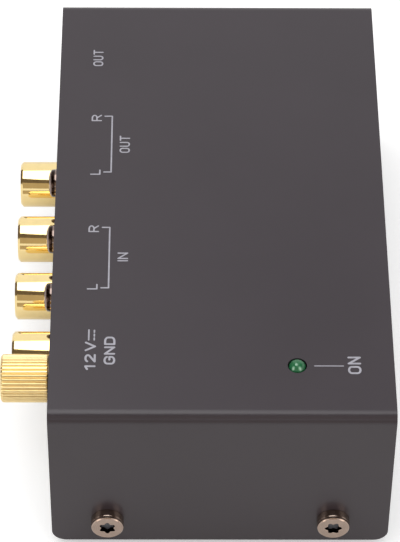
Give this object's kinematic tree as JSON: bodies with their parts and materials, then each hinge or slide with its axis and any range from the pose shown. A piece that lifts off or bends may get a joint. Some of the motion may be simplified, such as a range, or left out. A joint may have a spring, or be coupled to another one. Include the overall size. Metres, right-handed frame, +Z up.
{
  "type": "phono preamp",
  "caption": "Small metal box with a row of phono sockets, a headphone-size output, a power inlet and a knurled ground terminal on one long side, and a power light on top.",
  "frame": {"origin": "middle of the whole part's footprint, on the surface that its feet stand on", "axes": "+Z up; -X out of the wall that carries the sockets; Y along the row of sockets, with the power light near the -Y end"},
  "size_m": [0.0676, 0.107, 0.0364],
  "materials": {
    "case_paint": "smooth satin powder coat, charcoal",
    "screw_steel": "warm grey plated steel, finely turned face",
    "bright_steel": "bright nickel-plated steel",
    "gold": "polished gold plate",
    "spring_metal": "tinned phosphor bronze",
    "black_plastic": "moulded black plastic, fine texture",
    "red_plastic": "moulded red plastic",
    "white_plastic": "moulded white plastic",
    "rubber": "matt black rubber",
    "board": "green solder mask",
    "led_green": "tinted clear green epoxy",
    "can_sleeve": "shrink sleeve",
    "film_cap": "moulded box",
    "ceramic": "dipped ceramic",
    "resistor": "lacquered body on bent leads",
    "wire_green": "green insulation"
  },
  "bodies": {
    "root": {"top_cover": "case_paint", "base_tray": "case_paint", "jack_wall": "case_paint", "cover_screws": "screw_steel", "foot_near_left": "rubber", "foot_near_right": "rubber", "foot_far_left": "rubber", "foot_far_right": "rubber", "board_standoffs": "bright_steel", "board_screws": "bright_steel", "main_board": "board", "rca_block": "black_plastic", "rca_block_screws": "bright_steel", "output_right_shell": "gold", "output_right_insulator": "red_plastic", "output_right_contact": "gold", "output_left_shell": "gold", "output_left_insulator": "white_plastic", "output_left_contact": "gold", "input_right_shell": "gold", "input_right_insulator": "red_plastic", "input_right_contact": "gold", "input_left_shell": "gold", "input_left_insulator": "white_plastic", "input_left_contact": "gold", "phone_jack_body": "black_plastic", "phone_jack_bushing": "bright_steel", "phone_jack_terminals": "bright_steel", "power_jack_body": "black_plastic", "power_jack_pin": "bright_steel", "power_jack_terminal": "bright_steel", "ground_stud": "gold", "ground_lock_washer": "bright_steel", "ground_lug": "bright_steel", "ground_wire": "wire_green", "power_led": "led_green", "led_leads": "bright_steel", "led_spacer": "black_plastic", "opamp_left": "black_plastic", "opamp_right": "black_plastic", "voltage_regulator": "black_plastic", "smoothing_capacitors": "can_sleeve", "coupling_capacitors": "can_sleeve", "film_capacitors": "film_cap", "ceramic_capacitors": "ceramic", "resistors": "resistor", "protection_diode": "black_plastic"},
    "ground_washer": {"ground_washer": "gold"},
    "ground_knob": {"ground_knob": "gold"},
    "tip_spring": {"phone_jack_tip_spring": "spring_metal"},
    "ring_spring": {"phone_jack_ring_spring": "spring_metal"},
    "power_spring": {"power_jack_spring": "spring_metal"}
  },
  "joints": [
    {"name": "ground_nut_travel", "type": "slide", "parent": "root", "child": "ground_washer", "axis": [-1, 0, 0], "range_m": [0, 0.0035]},
    {"name": "ground_nut_turn", "type": "hinge", "parent": "ground_washer", "child": "ground_knob", "pos_m": [-0.02525, -0.03675, 0.0284], "axis": [-1, 0, 0], "range_deg": [0, 1800]},
    {"name": "tip_contact", "type": "hinge", "parent": "root", "child": "tip_spring", "pos_m": [-0.01175, 0.03035, 0.018], "axis": [0, 0, -1], "range_deg": [0, 3.5], "stiffness_Nm_per_rad": 0.3},
    {"name": "ring_contact", "type": "hinge", "parent": "root", "child": "ring_spring", "pos_m": [-0.01175, 0.04075, 0.018], "axis": [0, 0, 1], "range_deg": [0, 6], "stiffness_Nm_per_rad": 0.3},
    {"name": "power_contact", "type": "hinge", "parent": "root", "child": "power_spring", "pos_m": [-0.01295, -0.03675, 0.0099], "axis": [0, -1, 0], "range_deg": [0, 4], "stiffness_Nm_per_rad": 0.3}
  ],
  "couplings": [
    {"joint": "ground_nut_turn", "follows": "ground_nut_travel", "rad_per_m": 8976}
  ]
}
